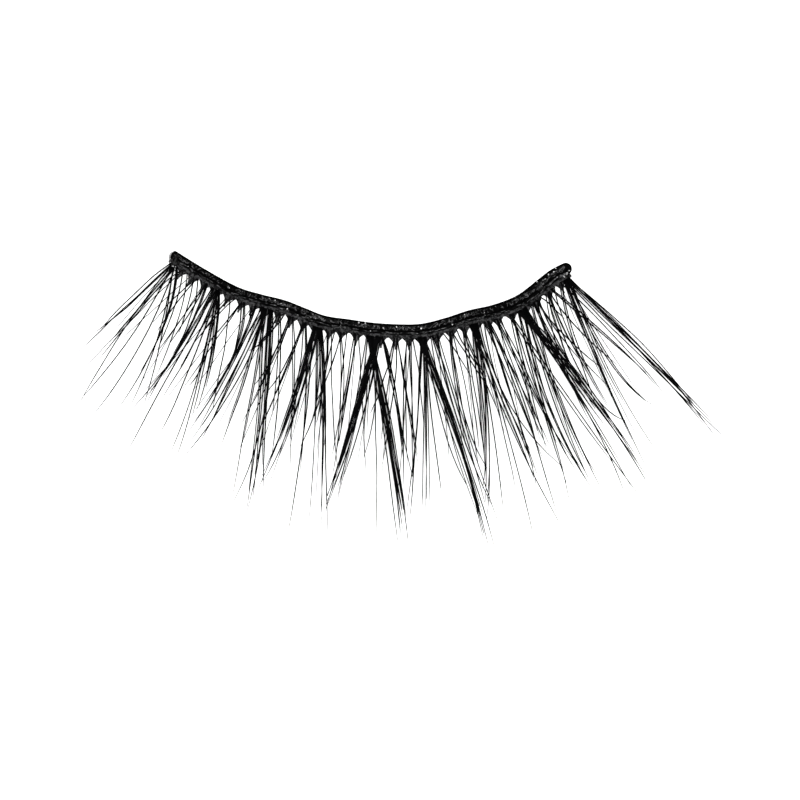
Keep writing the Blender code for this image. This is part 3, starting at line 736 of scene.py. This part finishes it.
def stragglers_of(strand, layer, chance, mesh):
    """Adds the fine single hairs that lie in a strand at its root and leave it on their way down."""
    for _ in range(round(strand["hairs"] * STRAGGLER_SHARE)):
        apart = chance.uniform(-STRAGGLER_APART, STRAGGLER_APART)
        reach = chance.uniform(*STRAGGLER_REACH)
        root = thread_at(strand["root_x"])
        tip = root + (np.array((strand["tip_x"], strand["tip_y"])) - root) * reach
        half_way = root + (np.array((strand["half_x"], strand["half_y"])) - root) * reach
        across = np.array((root[1] - tip[1], tip[0] - root[0]))
        across = across / np.linalg.norm(across)
        half_way = half_way + across * apart * STRAGGLER_APART_HALF_WAY
        tip = tip + across * apart
        root_x = strand["root_x"] + chance.uniform(-STRAGGLER_ROOT, STRAGGLER_ROOT) * strand["width"]
        lone = dict(zip(STRAND, (root_x, *half_way, *tip, LONE_WIDTH, 1)))
        hairs_of(lone, layer, chance, mesh, chance.uniform(*STRAGGLER_THICKNESS))


def strands_of(rows, layer, chance, mesh):
    """Adds the hairs of every row of a table of strands, with their stragglers."""
    for row in rows:
        strand = dict(zip(STRAND, row))
        hairs_of(strand, layer, chance, mesh)
        stragglers_of(strand, layer, chance, mesh)


def make_spikes(material):
    """One piece of hairs for each spike, in the place of its solid."""
    for name, rows in SPIKES.items():
        mesh = Mesh()
        strands_of(rows, SPIKE_LAYER, random.Random(SEED + int(name[-1])), mesh)
        mesh.make(name + "_hairs", material, name)


def make_fringe_hairs(material):
    """The hairs between the spikes, and one fine hair at every knot."""
    chance = seeded("fringe_hairs")
    mesh = Mesh()
    strands_of(BETWEEN, BETWEEN_LAYER, chance, mesh)
    for knot in KNOTS:
        spread = chance.uniform(-FRINGE_SWING_SPREAD, FRINGE_SWING_SPREAD)
        heading = heading_at(LEAN_PER_MM * knot["x"] + FRINGE_SWING + spread)
        length = chance.uniform(*FRINGE_LENGTH)
        root = thread_at(knot["x"] + chance.uniform(-FRINGE_SPREAD, FRINGE_SPREAD))
        tip = root + heading * length
        half_way = root + heading * length * 0.5
        half_way[0] += chance.uniform(-FRINGE_SPREAD, FRINGE_SPREAD)
        strand = dict(zip(STRAND, (root[0], *half_way, *tip, LONE_WIDTH, 1)))
        hairs_of(strand, FRINGE_LAYER, chance, mesh, FRINGE_THICKNESS)
    mesh.make("fringe_hairs", material)


def make_thread(material):
    """The two-ply root thread, its plies turning round each other, cut square at the right end."""
    runs = np.concatenate(([0], np.cumsum(np.linalg.norm(np.diff(THREAD, axis=0), axis=1))))
    places = np.linspace(0, runs[-1], THREAD_STEPS)
    plan = np.column_stack([np.interp(places, runs, THREAD[:, axis]) for axis in (0, 1)])
    points = np.column_stack((plan, np.full(THREAD_STEPS, THREAD_RADIUS)))
    turns = 2 * math.pi * np.arange(THREAD_SIDES) / THREAD_SIDES
    twist = turns[None, :] + places[:, None] * 2 * math.pi / PLY_PITCH
    radius = THREAD_RADIUS * (1 - PLY_DEPTH * np.abs(np.sin(twist)) ** PLY_SHARPNESS)
    mesh = Mesh()
    mesh.tube(points, radius, radius, THREAD_SIDES)
    mesh.make("root_thread", material, "lash_fringe")


def make_webs(material):
    """The glue that runs from the thread a little way down each knot's hairs, with hollow sides."""
    chance = seeded("glue_webs")
    mesh = Mesh()
    shares = np.linspace(0, 1, WEB_STEPS)
    heights = np.full(WEB_STEPS, THREAD_RADIUS * WEB_SEAT) - shares * WEB_DIP
    high = WEB_ROOT_EXTRA * (1 - shares) ** 2 + WEB_TIP_HALF_HEIGHT
    for knot in KNOTS:
        length = WEB_LENGTH + WEB_LENGTHENING * (knot["web"] - WEB_LEAST)
        length = length + chance.uniform(-WEB_LENGTH_SPREAD, WEB_LENGTH_SPREAD)
        down = shares * length
        flare = 1 - np.clip((down - THREAD_RADIUS) / (length - THREAD_RADIUS), 0, 1)
        plan = thread_at(knot["x"]) + heading_at(WEB_LEAN_PER_MM * knot["x"]) * down[:, None]
        wide = (knot["web"] + WEB_FLARE) * flare**WEB_HOLLOW + WEB_TIP_HALF_WIDTH
        mesh.tube(np.column_stack((plan, heights)), wide, high, WEB_SIDES)
    mesh.lump(*GLUE_BLOT)
    mesh.make("glue_webs", material)


def band_relief(x, y):
    """The unevenness of the weave at a place, about -1 to 1."""
    return sum(share * noise.noise(Vector((x * waves, y * waves, cut))) for waves, cut, share in WEAVE_NOISE)


def near_groove(share_across, half_width):
    """1 in the middle of the groove, falling to nothing a little past the half width."""
    return math.exp(-(((share_across - GROOVE_AT) / half_width) ** 2))


def band_height(share_across, x, y):
    """The height of the band's top: rounded at both edges, hollow along the groove, uneven in the weave."""
    place = share_across * 2 - 1
    height = BAND_THICKNESS - EDGE_DROP * abs(place) ** EDGE_POWER
    height -= GROOVE_DEPTH * near_groove(share_across, GROOVE_HALF_WIDTH)
    weave = 1 if RIM_SHARE < share_across < WEAVE_END else RIM_RELIEF_SHARE
    return height + WEAVE_RELIEF * weave * band_relief(x, y)


def band_tone_and_groove_shade(share_across):
    """How much of the weave's grey shows: none on the smooth rim, and none in the groove, which is painted
    shade.
    """
    rim = (share_across - RIM_SHARE * RIM_SHADE_FROM) / (RIM_SHARE * RIM_SHADE_OVER)
    return min(max(rim, 0), 1) * (1 - GROOVE_PAINTED_SHADE * near_groove(share_across, GROOVE_PAINTED_SHADE_HALF_WIDTH))


def band_share(x, y):
    """Where a point in plan lies on the band: its section number and its share across."""
    away = np.hypot(BAND_MIDDLE[:, 0] - x, BAND_MIDDLE[:, 1] - y)
    position = float(BAND_PLACES[int(away.argmin())])
    station = band_station(position)
    share = (Vector((x, y)) - station["edge"]).dot(station["across"]) / (station["width"] + BAND_OVERLAP)
    return position, share


def band_rows():
    """The band's sections with its round ends: middle in plan, direction across and half width of each."""
    last = len(BAND_SECTIONS) - 1
    rows = []
    for number in range(BAND_STEPS):
        station = band_station(last * number / (BAND_STEPS - 1))
        half = (station["width"] + BAND_OVERLAP) / 2
        rows.append((station["edge"] + station["across"] * half, station["across"], half))
    caps = []
    for (middle, across, half), sign, reach in zip((rows[0], rows[-1]), (-1, 1), BAND_END_REACH):
        along = band_station(0 if sign < 0 else last)["along"]
        cap = []
        for number in range(BAND_END_STEPS):
            turn = math.pi / 2 * (number + 1) / (BAND_END_STEPS + BAND_END_GAP)
            tip = middle + along * sign * half * reach * math.sin(turn)
            cap.append((tip, across, half * math.cos(turn)))
        caps.append(cap)
    return caps[0][::-1] + rows + caps[1]


def make_band(material):
    """The woven band: a strip with round ends, a smooth upper rim, a groove and an uneven weave."""
    rings = []
    tones = []
    for middle, across, half in band_rows():
        ring = []
        for number in range(BAND_ACROSS):
            share = number / (BAND_ACROSS - 1)
            spot = middle + across * half * (share * 2 - 1)
            ring.append((spot.x, spot.y, band_height(share, spot.x, spot.y)))
            tones.append(band_tone_and_groove_shade(share))
        for share, low in UNDERSIDE:
            spot = middle + across * half * (share * 2 - 1)
            ring.append((spot.x, spot.y, low))
            tones.append(UNDERSIDE_TONE)
        rings.append(ring)
    mesh = Mesh()
    mesh.rings(np.array(rings))
    band = mesh.make("band_weave", material, "band")
    # The weave's tone at each point, which also paints shade into the groove
    attribute = band.data.attributes.new("tone", "FLOAT", "POINT")
    attribute.data.foreach_set("value", tones)


def make_left_end(cloth, glue):
    """The blunt left end: band and thread are pressed into one pad, with dried glue at its edge."""
    pad = Mesh()
    pad.lump(*BLUNT_END)
    pad.make("blunt_end", cloth)
    edge = Mesh()
    edge.lump(*PALE_EDGE)
    edge.make("pale_edge", glue)


def fibre_points(start, share, heading, bend, step):
    """The points of one fibre, which curls over the band's top and stays on its side of the groove."""
    low, high = RIM_SHARE, GROOVE_AT - FIBRE_CLEAR
    if share >= GROOVE_AT:
        low, high = GROOVE_AT + FIBRE_CLEAR, FIBRE_END
    points = []
    x, y = start
    while len(points) < FIBRE_STEPS:
        position, share_here = band_share(x, y)
        if not (low <= share_here <= high and 0 < position < len(BAND_SECTIONS) - 1):
            break
        points.append((x, y, band_height(share_here, x, y) + FIBRE_SEAT))
        x += math.cos(heading) * step
        y += math.sin(heading) * step
        heading += bend * step
    return np.array(points)


def make_band_fibres(material):
    """Short fibres on the band's top, their grey painted sheen: curled above the groove, and in line with the
    band below it.
    """
    chance = seeded("band_fibres_painted_sheen")
    mesh = Mesh()
    for _ in range(FIBRE_COUNT):
        share = chance.uniform(RIM_SHARE + FIBRE_FROM_RIM, FIBRE_START_END)
        if abs(share - GROOVE_AT) < FIBRE_START_CLEAR:
            share -= FIBRE_START_CLEAR * 2
        position = chance.uniform(0.0, len(BAND_SECTIONS) - 1)
        heading = chance.uniform(0, 2 * math.pi)
        bend = chance.uniform(-FIBRE_BEND, FIBRE_BEND)
        if share > GROOVE_AT:
            along = band_station(position)["along"]
            heading = math.atan2(along.y, along.x) + chance.uniform(-FIBRE_SKEW, FIBRE_SKEW)
            bend = chance.uniform(-FIBRE_SLIGHT_BEND, FIBRE_SLIGHT_BEND)
        points = fibre_points(band_place(position, share), share, heading, bend, chance.uniform(*FIBRE_STEP))
        if len(points) < FIBRE_LEAST_STEPS:
            continue
        arch = np.sin(np.linspace(FIBRE_ARCH_FROM, math.pi - FIBRE_ARCH_FROM, len(points)))
        radius = arch**FIBRE_ARCH_POWER * chance.uniform(*FIBRE_RADIUS)
        mesh.tube(points, radius, radius, FIBRE_SIDES)
    mesh.make("band_fibres_painted_sheen", material)


def make_painted_glints(material):
    """White flecks on the weave: painted glints, bright spots that stand in for light caught on its fibres."""
    chance = seeded("band_painted_glints")
    mesh = Mesh()
    spots = list(FLECKS)
    for _ in range(SMALL_FLECKS):
        place = band_place(chance.uniform(0.0, len(BAND_SECTIONS) - 1), chance.uniform(*SMALL_FLECK_SHARE))
        spots.append((place.x, place.y, chance.uniform(*SMALL_FLECK_SIZE)))
    for x, y, size in spots:
        _, share = band_share(x, y)
        height = band_height(min(max(share, FLECK_LIMITS[0]), FLECK_LIMITS[1]), x, y)
        turn = chance.uniform(0, math.pi)
        reach = size * chance.uniform(*FLECK_LENGTH)
        heading = np.array((math.cos(turn), math.sin(turn), 0.0))
        points = heading * reach * FLECK_PLACES[:, None] + np.array((x, y, height + size * FLECK_SEAT))
        radius = size * FLECK_PROFILE
        mesh.tube(points, radius, radius * FLECK_FLATNESS, FLECK_SIDES)
    mesh.make("band_painted_glints", material)


def nodes_of(name):
    """A new material with its node tree and its shader."""
    material = bpy.data.materials.new(name)
    material.use_nodes = True
    tree = material.node_tree
    return material, tree, tree.nodes["Principled BSDF"]


def darkened(tree, colour, dark, attribute):
    """A colour that gives way to the dark one where an attribute of the mesh is low."""
    shade = tree.nodes.new("ShaderNodeAttribute")
    shade.attribute_name = attribute
    mix = tree.nodes.new("ShaderNodeMix")
    mix.data_type = "RGBA"
    mix.inputs[6].default_value = (*dark, 1)
    tree.links.new(shade.outputs["Fac"], mix.inputs[0])
    tree.links.new(colour, mix.inputs[7])
    return mix.outputs[2]


def textured(name):
    """A material whose colour, roughness and relief vary with fine noise in the object's own space."""
    look = dict(zip(LOOK, MATERIALS[name]))
    material, tree, shader = nodes_of(name)
    place = tree.nodes.new("ShaderNodeTexCoord")
    grain = tree.nodes.new("ShaderNodeTexNoise")
    grain.inputs["Scale"].default_value = look["scale"]
    grain.inputs["Detail"].default_value = NOISE_DETAIL
    grain.inputs["Distortion"].default_value = NOISE_DISTORTION
    tree.links.new(place.outputs["Object"], grain.inputs["Vector"])
    ramp = tree.nodes.new("ShaderNodeValToRGB")
    stops = zip(ramp.color_ramp.elements, RAMP_POSITIONS, (look["dark"], look["light"]))
    for stop, position, colour in stops:
        stop.position = position
        stop.color = (*colour, 1)
    tree.links.new(grain.outputs["Fac"], ramp.inputs["Fac"])
    colour = ramp.outputs["Color"]
    if look["tone"]:
        # On the band this darkens the smooth rim, and the groove as painted shade
        colour = darkened(tree, colour, look["dark"], look["tone"])
    tree.links.new(colour, shader.inputs["Base Color"])
    gloss = tree.nodes.new("ShaderNodeMapRange")
    gloss.inputs["To Min"].default_value = look["roughness"][0]
    gloss.inputs["To Max"].default_value = look["roughness"][1]
    tree.links.new(grain.outputs["Fac"], gloss.inputs["Value"])
    tree.links.new(gloss.outputs["Result"], shader.inputs["Roughness"])
    relief = tree.nodes.new("ShaderNodeBump")
    relief.inputs["Strength"].default_value = look["bump"]
    relief.inputs["Distance"].default_value = BUMP_DISTANCE * MM
    tree.links.new(grain.outputs["Fac"], relief.inputs["Height"])
    tree.links.new(relief.outputs["Normal"], shader.inputs["Normal"])
    shader.inputs["Specular IOR Level"].default_value = look["level"]
    return material


def area_light(name, place, watts, size):
    """A soft light that faces the part."""
    light = bpy.data.lights.new(name, "AREA")
    light.energy = watts
    light.size = size
    obj = bpy.data.objects.new(name, light)
    obj.location = place
    obj.rotation_euler = Vector(place).to_track_quat("Z", "Y").to_euler()
    bpy.context.scene.collection.objects.link(obj)


def make_stage():
    """A pale floor, soft light from both sides and the sky, and the camera straight above."""
    scene = bpy.context.scene
    scene.view_settings.view_transform = "Standard"
    bpy.ops.mesh.primitive_plane_add(size=FLOOR_SIZE, location=(0, 0, -FLOOR_GAP))
    floor = bpy.context.object
    floor.name = "floor"
    material, _, shader = nodes_of("pale_floor")
    shader.inputs["Base Color"].default_value = FLOOR_COLOUR
    shader.inputs["Roughness"].default_value = 1.0
    shader.inputs["Specular IOR Level"].default_value = 0.0
    floor.data.materials.append(material)
    world = bpy.data.worlds.new("sky")
    world.use_nodes = True
    world.node_tree.nodes["Background"].inputs["Color"].default_value = (1, 1, 1, 1)
    world.node_tree.nodes["Background"].inputs["Strength"].default_value = SKY_STRENGTH
    scene.world = world
    for light in LIGHTS:
        area_light(*light)
    data = bpy.data.cameras.new("camera")
    data.sensor_width = SENSOR_WIDTH
    data.lens = SENSOR_WIDTH / VIEW_WIDTH * CAMERA_HEIGHT / MM
    data.clip_start, data.clip_end = CAMERA_CLIP
    camera = bpy.data.objects.new("camera", data)
    camera.location = (VIEW_MIDDLE[0] * MM, VIEW_MIDDLE[1] * MM, CAMERA_HEIGHT)
    scene.collection.objects.link(camera)
    scene.camera = camera


def main():
    """Makes the stage, the materials and every piece."""
    make_stage()
    materials = {name: textured(name) for name in MATERIALS}
    make_band(materials["band_cloth_weave"])
    make_left_end(materials["blunt_end_cloth"], materials["dried_glue"])
    make_band_fibres(materials["band_fibre_painted_sheen"])
    make_painted_glints(materials["painted_glint"])
    make_thread(materials["thread_ply"])
    make_webs(materials["root_glue"])
    make_fringe_hairs(materials["lash_hair"])
    make_spikes(materials["lash_hair"])


main()
